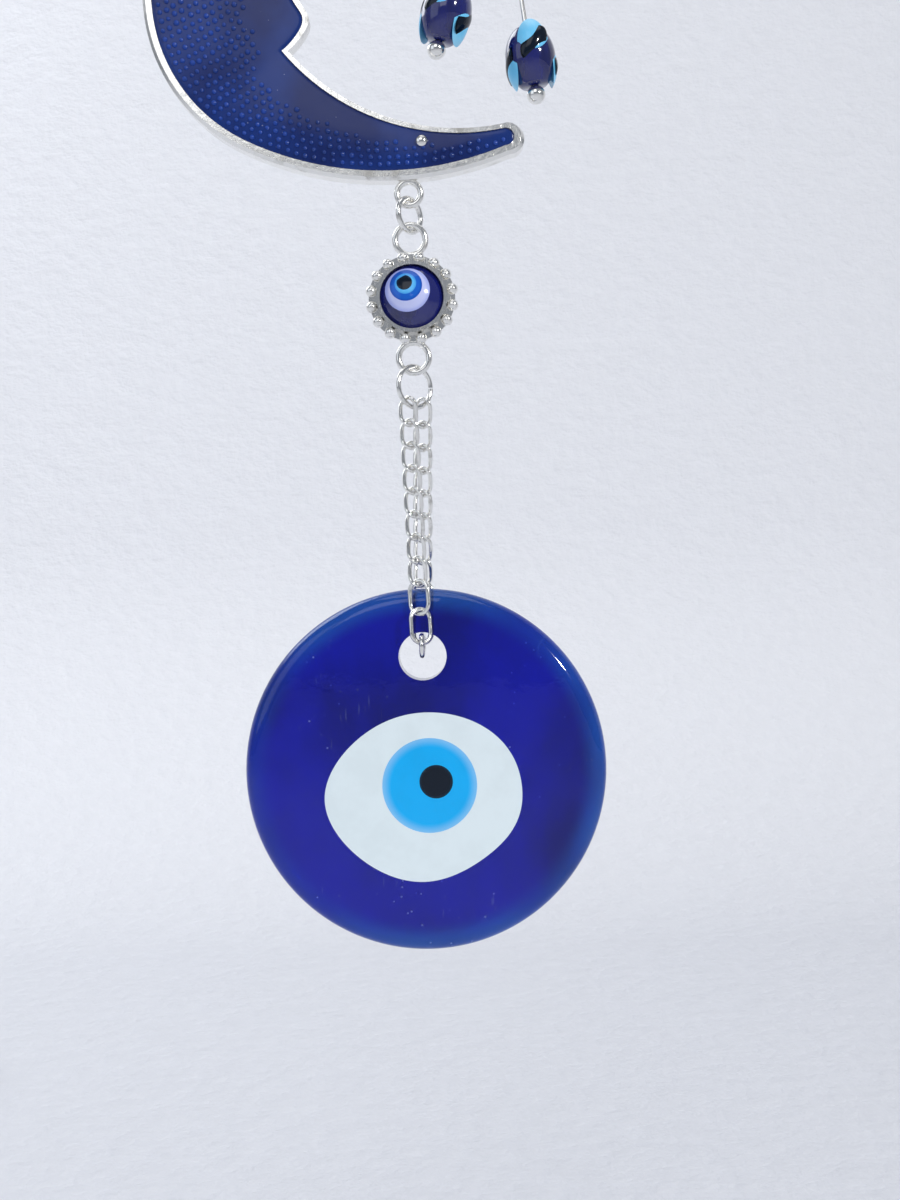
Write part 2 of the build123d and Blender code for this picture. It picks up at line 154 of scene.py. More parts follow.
class Finish:
    """One material, put together node by node."""

    def __init__(self, name):
        self.material = bpy.data.materials.new(name)
        self.material.use_nodes = True
        self.tree = self.material.node_tree
        self.shader = self.tree.nodes["Principled BSDF"]
        self.place = self.add("ShaderNodeTexCoord", {}, {}).outputs["Object"]

    def plug(self, slot, value):
        """Links a socket or number to an input."""
        if isinstance(value, Level):
            value = value.socket
        if isinstance(value, bpy.types.NodeSocket):
            self.tree.links.new(value, slot)
        else:
            slot.default_value = value

    def add(self, kind, settings, inputs):
        """A node of this kind, its settings first and then its inputs."""
        node = self.tree.nodes.new(kind)
        for name, value in settings.items():
            setattr(node, name, value)
        for name, value in inputs.items():
            self.plug(node.inputs[name], value)
        return node

    def set(self, **values):
        """Inputs of the main shader, their names written with underscores."""
        for name, value in values.items():
            self.plug(self.shader.inputs[name.replace("_", " ")], value)

    def stretched(self, scale):
        """The object's place, scaled by a vector."""
        node = self.add("ShaderNodeVectorMath", {"operation": "MULTIPLY"}, {0: self.place, 1: scale})
        return node.outputs[0]

    def cloud(self, scale, detail=3.0, roughness=0.5, place=None):
        """Smooth noise. Scale is in waves per metre."""
        inputs = {"Vector": place or self.place, "Scale": scale, "Detail": detail, "Roughness": roughness}
        return Level(self, self.add("ShaderNodeTexNoise", {}, inputs).outputs[0])

    def cells(self, scale, place=None):
        """Distance from the nearest of many scattered points, in cells."""
        inputs = {"Vector": place or self.place, "Scale": scale}
        return Level(self, self.add("ShaderNodeTexVoronoi", {"feature": "F1"}, inputs).outputs["Distance"])

    def away_from(self, point, keep=(1.0, 1.0, 1.0)):
        """Distance from a point, in the directions that keep leaves."""
        offset = self.add("ShaderNodeVectorMath", {"operation": "SUBTRACT"}, {0: self.place, 1: tuple(point)})
        kept = self.add("ShaderNodeVectorMath", {"operation": "MULTIPLY"}, {0: offset.outputs[0], 1: keep})
        length = self.add("ShaderNodeVectorMath", {"operation": "LENGTH"}, {0: kept.outputs[0]})
        return Level(self, length.outputs["Value"])

    def blend(self, share, first, second):
        """A colour that goes from first to second with share."""
        node = self.add("ShaderNodeMix", {"data_type": "RGBA"}, {})
        for slot, value in ((0, share), (6, first), (7, second)):
            self.plug(node.inputs[slot], value)
        return node.outputs[2]

    def bump(self, height, strength, depth):
        """Relief of this height, depth metres deep at full strength."""
        inputs = {"Height": height, "Strength": strength, "Distance": depth}
        self.set(Normal=self.add("ShaderNodeBump", {}, inputs).outputs[0])


def opaque(colour):
    """A colour property as the four numbers that a socket takes."""
    return (*colour, 1.0)


# ------------------------------------------------------------------ modelling steps


def deselect_all():
    """Nothing selected and nothing active."""
    for thing in bpy.context.view_layer.objects:
        thing.select_set(False)
    bpy.context.view_layer.objects.active = None


def take(thing):
    """Makes one object the only one selected."""
    deselect_all()
    thing.select_set(True)
    bpy.context.view_layer.objects.active = thing


def edit(thing):
    """Opens an object for editing, with nothing in it selected."""
    take(thing)
    bpy.ops.object.mode_set(mode="EDIT")
    bpy.ops.mesh.select_all(action="DESELECT")
    bpy.ops.object.mode_set(mode="OBJECT")


def pick_faces(thing, test):
    """Selects the faces that pass a test and opens the object for editing."""
    edit(thing)
    for face in thing.data.polygons:
        face.select = test(face)
    bpy.ops.object.mode_set(mode="EDIT")


def pick_points(thing, test):
    """Selects the points that pass a test and opens the object for editing."""
    edit(thing)
    for point in thing.data.vertices:
        point.select = test(point.co)
    bpy.ops.object.mode_set(mode="EDIT")


def close_edit():
    """Back to object mode."""
    bpy.ops.object.mode_set(mode="OBJECT")


def outward(thing):
    """Merges doubles and turns the normals outwards."""
    take(thing)
    bpy.ops.object.mode_set(mode="EDIT")
    bpy.ops.mesh.select_all(action="SELECT")
    bpy.ops.mesh.remove_doubles(threshold=1e-6)
    bpy.ops.mesh.normals_make_consistent(inside=False)
    close_edit()


def settle(thing, name):
    """Names an object and applies its place, turn and size."""
    take(thing)
    thing.name = name
    thing.data.name = name
    bpy.ops.object.transform_apply(location=True, rotation=True, scale=True)
    return thing


def copies(pattern, places, name):
    """Copies of a pattern at the given matrices, joined into one object, and the pattern removed."""
    made = []
    for place in places:
        thing = pattern.copy()
        thing.data = pattern.data.copy()
        thing.matrix_world = place
        bpy.context.collection.objects.link(thing)
        made.append(thing)
    bpy.data.objects.remove(pattern)
    deselect_all()
    for thing in made:
        thing.select_set(True)
    bpy.context.view_layer.objects.active = made[0]
    bpy.ops.object.join()
    return settle(bpy.context.object, name)


def smooth(thing, degrees=40):
    """Smooth shading, but for edges sharper than this."""
    take(thing)
    bpy.ops.object.shade_smooth_by_angle(angle=math.radians(degrees))


def complete(thing, body, material):
    """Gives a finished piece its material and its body."""
    thing.data.materials.clear()
    thing.data.materials.append(material)
    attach(thing, body)


def coat_nodes(nodes, material):
    """Gives CAD nodes a material."""
    for node in nodes:
        thing = NODES[node]
        if not thing.material_slots:
            raise RuntimeError(f"{node} has no material slot")
        for slot in thing.material_slots:
            slot.material = material


# ------------------------------------------------------------------ sizes and colours


class OrnamentMoon(bpy.types.PropertyGroup):
    """The enamel of the crescent."""

    blue: FloatVectorProperty(
        name="Blue", description="Main colour of the enamel", subtype="COLOR", default=(0.0045, 0.026, 0.165)
    )
    deep_blue: FloatVectorProperty(
        name="Deep blue", description="Colour where the enamel is thick", subtype="COLOR",
        default=(0.0025, 0.013, 0.100),
    )
    sink: FloatProperty(
        name="Sink", description="How far the enamel's edge lies below the rim", unit="LENGTH",
        default=0.26 * MM,
    )
    dot_width: FloatProperty(
        name="Dot width", description="Width of a raised dot", unit="LENGTH", default=0.74 * MM
    )
    dot_rise: FloatProperty(
        name="Dot rise", description="Height of a raised dot", unit="LENGTH", default=0.24 * MM
    )
    dot_step: FloatProperty(
        name="Dot step", description="Distance along a row", unit="LENGTH", default=1.22 * MM
    )
    row_step: FloatProperty(
        name="Row step", description="Distance between rows", unit="LENGTH", default=1.05 * MM
    )
    plain_share: FloatProperty(
        name="Plain share", description="Share of the width left plain on the inner side", default=0.36
    )


class OrnamentSilver(bpy.types.PropertyGroup):
    """The plated metal."""

    bright: FloatVectorProperty(
        name="Bright", description="Clean plating", subtype="COLOR", default=(0.86, 0.85, 0.82)
    )
    dull: FloatVectorProperty(
        name="Dull", description="Tarnished plating", subtype="COLOR", default=(0.50, 0.485, 0.455)
    )


class OrnamentChain(bpy.types.PropertyGroup):
    """The curb links."""

    wire: FloatProperty(
        name="Wire", description="Thickness of a link's wire", unit="LENGTH", default=0.6 * MM
    )
    width: FloatProperty(
        name="Width", description="Width of a curb link between wire middles", unit="LENGTH",
        default=2.15 * MM,
    )
    twist: FloatProperty(
        name="Twist", description="Turn of a link from end to end", subtype="ANGLE", default=math.radians(90)
    )


class OrnamentGlass(bpy.types.PropertyGroup):
    """The colours of the glass."""

    cobalt: FloatVectorProperty(
        name="Cobalt", description="The disc where light comes through", subtype="COLOR",
        default=(0.005, 0.009, 0.40),
    )
    deep: FloatVectorProperty(
        name="Deep cobalt", description="The disc's darker streaks", subtype="COLOR",
        default=(0.002, 0.005, 0.17),
    )
    # Painted light: the lighter blue that the disc's rim is painted with, standing in for light coming
    # through its rounded edge.
    rim: FloatVectorProperty(
        name="Rim", description="The disc's lit rim", subtype="COLOR", default=(0.012, 0.11, 0.46)
    )
    white: FloatVectorProperty(
        name="White", description="White glass", subtype="COLOR", default=(0.70, 0.79, 0.83)
    )
    turquoise: FloatVectorProperty(
        name="Turquoise", description="Turquoise glass", subtype="COLOR", default=(0.004, 0.40, 0.86)
    )
    black: FloatVectorProperty(
        name="Black", description="Black glass", subtype="COLOR", default=(0.001, 0.006, 0.016)
    )
    navy: FloatVectorProperty(
        name="Navy", description="Navy glass of the beads", subtype="COLOR", default=(0.006, 0.011, 0.16)
    )


class OrnamentBeads(bpy.types.PropertyGroup):
    """The lampwork drops on the two beads."""

    half_length: FloatProperty(
        name="Half length", description="From a bead's middle to its flat end", unit="LENGTH",
        default=3.9 * MM,
    )
    petals: IntProperty(name="Petals", description="Petals round a bead", default=4, min=1)
    petal_width: FloatProperty(
        name="Petal width", description="Width of a pale petal", unit="LENGTH", default=3.5 * MM
    )
    petal_rise: FloatProperty(
        name="Petal rise", description="How far a petal stands out", unit="LENGTH", default=0.14 * MM
    )
    pupil_width: FloatProperty(
        name="Pupil width", description="Width of a pupil", unit="LENGTH", default=1.5 * MM
    )


class OrnamentStage(bpy.types.PropertyGroup):
    """The camera, the light and the pale floor."""

    distance: FloatProperty(
        name="Distance", description="From the camera to the disc's front", unit="LENGTH", default=0.18
    )
    view_height: FloatProperty(
        name="View height", description="Height of the view at that distance", unit="LENGTH", default=0.1643
    )
    aside: FloatProperty(
        name="Aside", description="View centre, right of the disc", unit="LENGTH", default=0.0040
    )
    above: FloatProperty(
        name="Above", description="View centre, above the disc", unit="LENGTH", default=0.0233
    )
    roll: FloatProperty(
        name="Roll", description="Turn of the camera", subtype="ANGLE", default=math.radians(-1.75)
    )
    floor: FloatVectorProperty(
        name="Floor", description="Colour of the floor", subtype="COLOR", default=(0.735, 0.745, 0.785)
    )
    sun: FloatProperty(name="Sun", description="Strength of the main light", default=1.9)


# ------------------------------------------------------------------ finishes


def silver_finish(name, grain, roughness, relief):
    """Plated metal with fine wear. Grain is in waves per metre."""
    sizes = bpy.context.scene.ornament_silver
    finish = Finish(name)
    tarnish = finish.cloud(grain, 5.0, 0.6).between(0.52, 0.74)
    pits = finish.cells(grain * 9.0).between(0.0, 0.22)
    hairline = finish.cloud(1.0, 2.0, 0.5, finish.stretched((9000.0, 9000.0, 700.0))).between(0.60, 0.72)
    finish.set(
        Base_Color=finish.blend(tarnish, opaque(sizes.bright), opaque(sizes.dull)),
        Metallic=1.0,
        Roughness=(roughness + 0.16 * tarnish + 0.14 * hairline).clamped(),
    )
    finish.bump(pits * 0.5 + finish.cloud(grain * 4.0) - 0.35 * hairline, relief, 0.05 * MM)
    return finish.material


def enamel_finish(name, light, deep):
    """Glossy enamel with slow changes of depth and a slight ripple."""
    finish = Finish(name)
    depth = finish.cloud(110.0, 3.0).between(0.35, 0.68)
    dust = finish.cells(900.0).between(0.10, 0.03) * finish.cloud(260.0).between(0.55, 0.62)
    shade = finish.blend(depth, opaque(light), opaque(deep))
    finish.set(
        Base_Color=finish.blend(0.35 * dust, shade, (0.55, 0.62, 0.75, 1.0)),
        Roughness=0.14 + 0.10 * finish.cloud(500.0) + 0.3 * dust,
        Specular_IOR_Level=0.36,
        IOR=1.52,
    )
    finish.bump(finish.cloud(420.0, 2.0), 0.25, 0.06 * MM)
    return finish.material


def opal_finish(name, colour, edge, shade_at):
    """Opaque poured glass: glossy, with faint swirls, and a tint that gathers at shade_at."""
    finish = Finish(name)
    centre, reach = shade_at
    swirl = finish.cloud(240.0, 4.0, 0.6).between(0.40, 0.70)
    rim = finish.away_from(centre).between(reach * 0.80, reach * 1.02)
    tone = finish.blend(0.22 * swirl, opaque(colour), opaque([c * 0.80 for c in colour]))
    pin = finish.cells(350.0).between(0.05, 0.02) * finish.cloud(180.0).between(0.58, 0.64)
    finish.set(
        Base_Color=finish.blend((0.55 * rim + 0.5 * pin).clamped(), tone, opaque(edge)),
        Roughness=0.08 + 0.07 * finish.cloud(600.0) + 0.2 * pin,
        Specular_IOR_Level=0.34,
        IOR=1.5,
    )
    finish.bump(finish.cloud(180.0, 2.0), 0.22, 0.10 * MM)
    return finish.material


def disc_finish():
    """Translucent cobalt glass, poured by hand: streaks, painted light on the rim, specks and scratches."""
    colours = bpy.context.scene.ornament_glass
    finish = Finish("cobalt_glass")
    across = finish.away_from(DISC_CENTRE, (1.0, 0.0, 1.0)) / DISC_RADIUS
    # Painted light: the rim is painted lighter blue, more where a slow noise (painted_light_side) is high,
    # standing in for light coming through the rounded edge.
    rim = across.between(0.84, 0.99)
    streaks = finish.cloud(1.0, 4.0, 0.55, finish.stretched((55.0, 90.0, 34.0))).between(0.42, 0.66)
    painted_light_side = finish.cloud(38.0, 2.0).between(0.38, 0.62)
    body = finish.blend(streaks, opaque(colours.cobalt), opaque(colours.deep))
    body = finish.blend((rim * (0.25 + 0.75 * painted_light_side)).clamped(), body, opaque(colours.rim))
    patches = finish.cloud(70.0, 3.0).between(0.50, 0.60)
    specks = finish.cells(620.0).between(0.13, 0.05) * patches
    scratch = finish.cloud(1.0, 1.0, 0.5, finish.stretched((2600.0, 400.0, 260.0))).between(0.70, 0.76)
    marks = (specks + 0.5 * scratch * patches).clamped()
    finish.set(
        Base_Color=finish.blend(0.45 * marks, body, (0.45, 0.55, 0.85, 1.0)),
        Roughness=0.025 + 0.05 * finish.cloud(300.0) + 0.35 * marks,
        Transmission_Weight=0.72,
        Specular_IOR_Level=0.32,
        IOR=1.5,
    )
    finish.bump(finish.cloud(75.0, 2.0) + 0.12 * finish.cloud(420.0) - 0.05 * marks, 0.35, 0.35 * MM)
    return finish.material


def bead_finish(name, colour, axis_scale):
    """Dark glass of the small beads: glossy, with drawn streaks and a little light inside."""
    finish = Finish(name)
    drawn = finish.cloud(1.0, 3.0, 0.5, finish.stretched(axis_scale)).between(0.40, 0.68)
    finish.set(
        Base_Color=finish.blend(drawn, opaque(colour), opaque([c * 0.45 for c in colour])),
        Roughness=0.05 + 0.08 * finish.cloud(700.0),
        Transmission_Weight=0.25,
        IOR=1.5,
        Coat_Weight=0.7,
        Coat_Roughness=0.03,
    )
    finish.bump(finish.cloud(330.0, 2.0), 0.25, 0.12 * MM)
    return finish.material


# ------------------------------------------------------------------ operators


SILVER_CASTINGS = ("moon_casting", "bezel_setting", "small_medal", "large_medal")
SILVER_SLOT = "silver_plate"


def slot_of(node):
    """The record's material slot that a CAD node has."""
    return NODES[node].material_slots[0].material.name.split(".")[0]


class ORNAMENT_OT_fill_moon(bpy.types.Operator):
    """Fills the crescent's tray with glossy enamel and sets its raised dots"""

    bl_idname = "ornament.fill_moon"
    bl_label = "Fill the moon"

    hub_inset = 6.9 * MM  # from the crescent's furthest reach back to the hub that the rows turn about
    first_row = 0.95 * MM  # from the outer edge to the first row of dots
    least_plain = 0.9 * MM  # the narrowest plain strip on the inner side
    stagger_radius = 40 * MM  # every other row starts half a step on, at this radius
    least_reach = 20 * MM
    row_count = 24
    first_turn = math.radians(74)
    last_turn = math.radians(286)
    empty_step = math.radians(0.5)
    rivet_radius = 0.85 * MM
    rivet_flatness = 0.62

    def pour(self, sizes):
        """A copy of the enamel's solid, its front sunk below the rim and pillowed."""
        take(NODES["moon_enamel"])
        bpy.ops.object.duplicate()
        enamel = bpy.context.object
        bpy.ops.object.parent_clear(type="CLEAR_KEEP_TRANSFORM")
        for key in list(enamel.keys()):
            del enamel[key]
        bpy.ops.mesh.customdata_custom_splitnormals_clear()
        bpy.ops.object.mode_set(mode="EDIT")
        bpy.ops.mesh.select_all(action="SELECT")
        bpy.ops.mesh.remove_doubles(threshold=1e-6)
        bpy.ops.mesh.dissolve_limited(angle_limit=math.radians(0.5))
        close_edit()
        pick_faces(enamel, lambda face: face.normal.dot(FRONT) > 0.99)
        bpy.ops.transform.translate(value=(0, sizes.sink, 0))
        for inset, rise in ((0.10, 0.055), (0.16, 0.045), (0.30, 0.035)):
            bpy.ops.mesh.inset(thickness=inset * MM, depth=rise * MM)
        close_edit()
        smooth(enamel, 35)
        return settle(enamel, "enamel_fill")

    def edges(self, enamel, turn):
        """Distances from the crescent's hollow to its inner and outer edge, in one direction."""
        hub = Vector((MOON_HIGH.x - self.hub_inset, (MOON_LOW.y + MOON_HIGH.y) / 2, MOON_MIDDLE))
        way = Vector((math.cos(turn), 0, math.sin(turn)))
        hit, inner, _, _ = enamel.ray_cast(hub, way)
        far = hub + way * 0.2
        hit_far, outer, _, _ = enamel.ray_cast(far, -way)
        if not (hit and hit_far):
            return hub, way, None
        return hub, way, ((inner - hub).length, (outer - hub).length)

    def dot_places(self, enamel, sizes, front):
        """Rows of dots that follow the outer edge, the inner side left plain."""
        draw = random.Random(7)
        places = []
        for row in range(self.row_count):
            turn = self.first_turn + 0.5 * (row % 2) * sizes.dot_step / self.stagger_radius
            while turn < self.last_turn:
                hub, way, found = self.edges(enamel, turn)
                if found is None:
                    turn += self.empty_step
                    continue
                inner, outer = found
                reach = outer - (self.first_row + row * sizes.row_step)
                plain = max(sizes.plain_share * (outer - inner), self.least_plain)
                if reach > inner + plain:
                    spot = hub + way * reach
                    spot.y = front
                    spot.x += draw.uniform(-0.09, 0.09) * MM
                    spot.z += draw.uniform(-0.09, 0.09) * MM
                    places.append((spot, draw.uniform(0.82, 1.12)))
                turn += sizes.dot_step / max(reach, self.least_reach)
        return places

    def execute(self, context):
        sizes = context.scene.ornament_moon
        enamel = self.pour(sizes)
        front = min(point.co.y for point in enamel.data.vertices)
        places = self.dot_places(enamel, sizes, front + 0.03 * MM)
        if len(places) < 100:
            raise RuntimeError("the rows of dots came out empty")
        deselect_all()
        bpy.ops.mesh.primitive_uv_sphere_add(segments=8, ring_count=6, radius=sizes.dot_width / 2)
        dot = bpy.context.object
        bpy.ops.object.mode_set(mode="EDIT")
        bpy.ops.mesh.select_all(action="SELECT")
        bpy.ops.mesh.bisect(plane_co=(0, 0, 0), plane_no=(0, 0, 1), clear_inner=True, use_fill=True)
        close_edit()
        dot.scale.z = 2 * sizes.dot_rise / sizes.dot_width
        settle(dot, "dot")
        facing = Matrix.Rotation(math.radians(90), 4, "X")
        spots = [Matrix.Translation(spot) @ facing @ Matrix.Scale(grow, 4) for spot, grow in places]
        dots = copies(dot, spots, "enamel_dots")
        outward(dots)
        smooth(dots, 60)
        complete(enamel, "moon", enamel_finish("moon_enamel_fill", sizes.blue, sizes.deep_blue))
        # Painted highlight: the dots use the fill's enamel painted 1.9 times lighter, standing in for the
        # highlights on the raised dots.
        light = [c * 1.9 for c in sizes.blue]
        complete(dots, "moon", enamel_finish("moon_enamel_dots_painted_highlight", light, sizes.blue))
        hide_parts("moon_enamel")
        self.rivet(sizes)
        return {"FINISHED"}

    def rivet(self, sizes):
        """The polished head of the pin that stands in the lower horn, above the lug."""
        deselect_all()
        line = node_centre("bezel_setting").x
        place = (line + 2.0 * MM, MOON_LOW.y + 0.1 * MM, MOON_LOW.z + 4.0 * MM)
        bpy.ops.mesh.primitive_uv_sphere_add(
            segments=24,
            ring_count=16,
            radius=self.rivet_radius,
            location=place,
            rotation=(math.radians(90), 0, 0),
        )
        head = bpy.context.object
        head.scale.z = self.rivet_flatness
        settle(head, "rivet_head")
        edit(head)
        bpy.ops.object.mode_set(mode="EDIT")
        bpy.ops.mesh.select_all(action="SELECT")
        bpy.ops.mesh.bisect(
            plane_co=(0, place[1] + 0.3 * MM, 0), plane_no=(0, 1, 0), clear_outer=True, use_fill=True
        )
        close_edit()
        smooth(head, 40)
        complete(head, "moon", silver_finish("rivet_silver", 500.0, 0.10, 0.12))


class ORNAMENT_OT_plate_silver(bpy.types.Operator):
    """Plates the castings, rings, pins and long links"""

    bl_idname = "ornament.plate_silver"
    bl_label = "Plate the silver"

    def execute(self, context):
        cast = silver_finish("cast_silver", 260.0, 0.17, 0.30)
        drawn = silver_finish("drawn_silver", 520.0, 0.11, 0.14)
        for node in NODES:
            if slot_of(node) == SILVER_SLOT:
                coat_nodes([node], cast if node in SILVER_CASTINGS else drawn)
        return {"FINISHED"}


class ORNAMENT_OT_twist_links(bpy.types.Operator):
    """Makes the small links of both strands as twisted curb links"""

    bl_idname = "ornament.twist_links"
    bl_label = "Twist the chain links"

    count = 8

    def pattern(self, length, sizes):
        """An oval link about the origin, standing up and twisted about its height."""
        bend = sizes.width / 2
        side = (length - sizes.width) / 2
        deselect_all()
        bpy.ops.mesh.primitive_circle_add(vertices=12, radius=sizes.wire / 2, location=(bend, 0, -side))
        link = bpy.context.object
        bpy.ops.object.transform_apply(location=True, rotation=True, scale=True)
        bpy.ops.object.mode_set(mode="EDIT")
        bpy.ops.mesh.select_all(action="SELECT")
        for way, turn_at in ((1, side), (-1, -side)):
            for _ in range(5):
                bpy.ops.mesh.extrude_region_move(TRANSFORM_OT_translate={"value": (0, 0, way * 2 * side / 5)})
            bpy.ops.mesh.spin(steps=14, angle=math.pi, center=(0, 0, turn_at), axis=(0, 1, 0))
        close_edit()
        outward(link)
        wind = link.modifiers.new("wind", "SIMPLE_DEFORM")
        wind.deform_method = "TWIST"
        wind.deform_axis = "Z"
        wind.angle = -sizes.twist
        take(link)
        bpy.ops.object.modifier_apply(modifier=wind.name)
        smooth(link, 60)
        return link

    def execute(self, context):
        sizes = context.scene.ornament_chain
        silver = silver_finish("curb_silver", 600.0, 0.10, 0.14)
        for strand in ("front", "back"):
            middles = [node_centre(f"{strand}_link_{n + 1:02d}") for n in range(self.count + 1)]
            for n in range(self.count):
                node = f"{strand}_link_{n + 1:02d}"
                run = (middles[self.count - 1] - middles[0]).normalized()
                low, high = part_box(node)
                length = (high.z - low.z - sizes.wire) / abs(run.z)
                link = self.pattern(length, sizes)
                up = Vector((0, 0, 1)).rotation_difference(-run).to_matrix().to_4x4()
                link.matrix_world = Matrix.Translation(middles[n]) @ up
                settle(link, f"{strand}_curb_{n + 1:02d}")
                complete(link, f"chain_level_{n + 1:02d}", silver)
                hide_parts(node)
        return {"FINISHED"}


class ORNAMENT_OT_pour_disc(bpy.types.Operator):
    """Gives the disc its cobalt glass and the eye its poured layers"""

    bl_idname = "ornament.pour_disc"
    bl_label = "Pour the disc"

    def execute(self, context):
        colours = context.scene.ornament_glass
        coat_nodes(["glass_disc"], disc_finish())
        eye = node_centre("eye_white")
        iris = node_centre("eye_iris")
        pupil = node_centre("eye_pupil")
        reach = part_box("eye_iris")[1].x - iris.x
        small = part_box("eye_pupil")[1].x - pupil.x
        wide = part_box("eye_white")[1].x - eye.x
        white = opal_finish("eye_white", colours.white, (0.60, 0.74, 0.84), (eye, wide * 1.15))
        pale = [0.5 * c + 0.5 * w for c, w in zip(colours.turquoise, colours.white)]
        coat_nodes(["eye_white"], white)
        coat_nodes(["eye_iris"], opal_finish("eye_iris", colours.turquoise, pale, (iris, reach)))
        black = opal_finish("eye_pupil", colours.black, (0.005, 0.03, 0.06), (pupil, small))
        coat_nodes(["eye_pupil"], black)
        return {"FINISHED"}


class ORNAMENT_OT_set_eye_bead(bpy.types.Operator):
    """Gives the connector's glass eye its colours"""

    bl_idname = "ornament.set_eye_bead"
    bl_label = "Set the eye bead"

    def execute(self, context):
        colours = context.scene.ornament_glass
        coat_nodes(["bead_dome"], bead_finish("bead_navy", colours.navy, (300.0, 300.0, 90.0)))
        layers = {
            "bead_white": ((0.52, 0.56, 0.86), (0.20, 0.26, 0.70)),
            "bead_blue": ((0.010, 0.115, 0.56), (0.006, 0.05, 0.34)),
            "bead_pale": ((0.10, 0.46, 0.86), (0.02, 0.20, 0.66)),
            "bead_pupil": (tuple(colours.black), (0.004, 0.02, 0.06)),
        }
        for node, (colour, edge) in layers.items():
            low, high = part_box(node)
            middle = Vector(((low.x + high.x) / 2, low.y, (low.z + high.z) / 2))
            coat_nodes([node], opal_finish(node, colour, edge, (middle, (high.x - low.x) / 2)))
        return {"FINISHED"}


class ORNAMENT_OT_wind_drop_beads(bpy.types.Operator):
    """Makes the two hanging beads as barrels with pale petals and dark pupils"""

    bl_idname = "ornament.wind_drop_beads"
    bl_label = "Wind the drop beads"

    lift = 0.9 * MM  # petals lie above and below the bead's middle in turn
    stretch = 1.18  # a barrel is cut from a ball this much longer than it
    petal_sink = 0.07 * MM
    petal_tall = 1.6
    pupil_tall = 1.75
    pupil_rise = 0.07 * MM
    pupil_lean = math.radians(-38)

    def barrel(self, half_length):
        """A rounded barrel about the origin, standing up, cut flat at both ends."""
        deselect_all()
        bpy.ops.mesh.primitive_uv_sphere_add(segments=64, ring_count=40, radius=self.radius)
        barrel = bpy.context.object
        barrel.scale.z = self.stretch * half_length / self.radius
        settle(barrel, "barrel")
        for way in (1, -1):
            edit(barrel)
            bpy.ops.object.mode_set(mode="EDIT")
            bpy.ops.mesh.select_all(action="SELECT")
            bpy.ops.mesh.bisect(
                plane_co=(0, 0, way * half_length), plane_no=(0, 0, way), clear_outer=True, use_fill=True
            )
            close_edit()
        return barrel

    def cap(self, width, rise, tall):
        """The outer cap of a ball, width across, on a round of the bead's radius. It points along +X."""
        sag = self.radius - math.sqrt(self.radius**2 - (width / 2) ** 2)
        height = sag + rise
        ball = ((width / 2) ** 2 + height**2) / (2 * height)
        centre = self.radius + rise - ball
        deselect_all()
        bpy.ops.mesh.primitive_uv_sphere_add(
            segments=48,
            ring_count=32,
            radius=ball,
            location=(centre, 0, 0),
            rotation=(0, math.radians(90), 0),
        )
        cap = bpy.context.object
        settle(cap, "cap")
        bpy.ops.object.mode_set(mode="EDIT")
        bpy.ops.mesh.select_all(action="SELECT")
        bpy.ops.mesh.bisect(
            plane_co=(self.radius - sag - 0.5 * MM, 0, 0), plane_no=(1, 0, 0), clear_inner=True, use_fill=True
        )
        close_edit()
        cap.scale.z = tall
        return settle(cap, "cap")

    def execute(self, context):
        sizes = context.scene.ornament_beads
        colours = context.scene.ornament_glass
        navy = bead_finish("drop_navy", colours.navy, (260.0, 260.0, 80.0))
        joints = {joint["child"]: joint for joint in frame["joints"]}
        for side, start in (("left", -22.0), ("right", 8.0)):
            body = f"{side}_drop_bead"
            joint = joints[body]
            down = Vector(joint["axis"])
            middle = node_centre(body)
            self.radius = (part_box(body)[1].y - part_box(body)[0].y) / 2
            upright = Vector((0, 0, -1)).rotation_difference(down).to_matrix().to_4x4()
            bead = self.barrel(sizes.half_length)
            bead.matrix_world = Matrix.Translation(middle) @ upright
            settle(bead, f"{side}_barrel")
            smooth(bead, 50)
            complete(bead, body, navy)
            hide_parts(body)
            petals, pupils = [], []
            for n in range(sizes.petals):
                turn = math.radians(start - 90 + n * 360 / sizes.petals)
                level = self.lift * (1 if n % 2 == 0 else -1)
                base = Matrix.Translation(middle) @ upright @ Matrix.Rotation(turn, 4, "Z")
                inward = Matrix.Translation((-self.petal_sink, 0, level))
                petals.append(base @ inward)
                pupils.append(base @ inward @ Matrix.Rotation(self.pupil_lean, 4, "X"))
            petal = self.cap(sizes.petal_width, sizes.petal_rise, self.petal_tall)
            petals_made = copies(petal, petals, f"{side}_petals")
            self.radius += sizes.petal_rise
            pupil = self.cap(sizes.pupil_width, self.pupil_rise, self.pupil_tall)
            pupils_made = copies(pupil, pupils, f"{side}_pupils")
            for thing in (petals_made, pupils_made):
                smooth(thing, 50)
            pale_edge = (middle, 5.0 * MM)
            pale = opal_finish(f"{side}_petal_glass", (0.16, 0.56, 0.88), (0.40, 0.72, 0.92), pale_edge)
            complete(petals_made, body, pale)
            dark_edge = (middle, 6.0 * MM)
            dark = opal_finish(f"{side}_pupil_glass", colours.black, (0.0, 0.01, 0.03), dark_edge)
            complete(pupils_made, body, dark)
        return {"FINISHED"}


